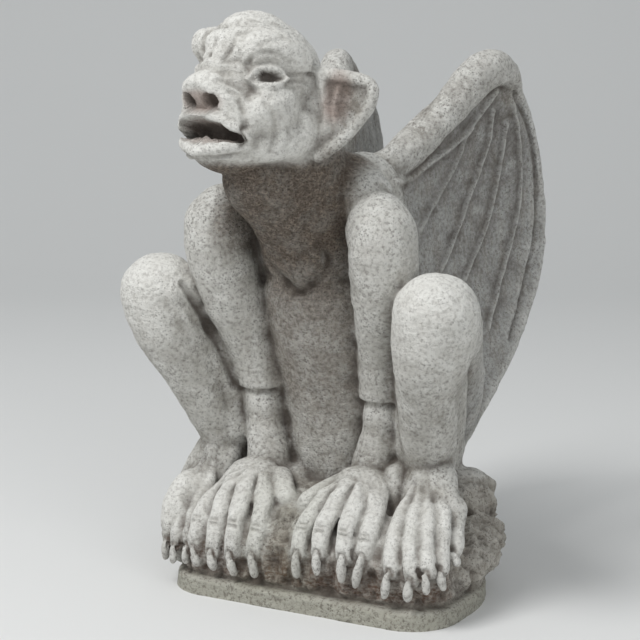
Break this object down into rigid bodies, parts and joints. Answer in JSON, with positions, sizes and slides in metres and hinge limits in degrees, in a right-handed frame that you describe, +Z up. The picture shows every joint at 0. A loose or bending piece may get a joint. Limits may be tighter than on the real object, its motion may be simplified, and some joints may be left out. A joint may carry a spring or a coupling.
{
  "type": "stone gargoyle garden statue",
  "caption": "Crouching bat-winged gargoyle in cast stone, hands and feet on a rock over a low rounded slab, head turned and mouth open.",
  "frame": {"origin": "centre of the slab's flat underside", "axes": "+Z up; the figure faces -Y; its left side is at +X"},
  "size_m": [0.2311, 0.2843, 0.3373],
  "materials": {
    "cast_stone": "weathered, sandy and pitted, matt"
  },
  "bodies": {
    "root": {"gargoyle": "cast_stone"}
  },
  "joints": []
}
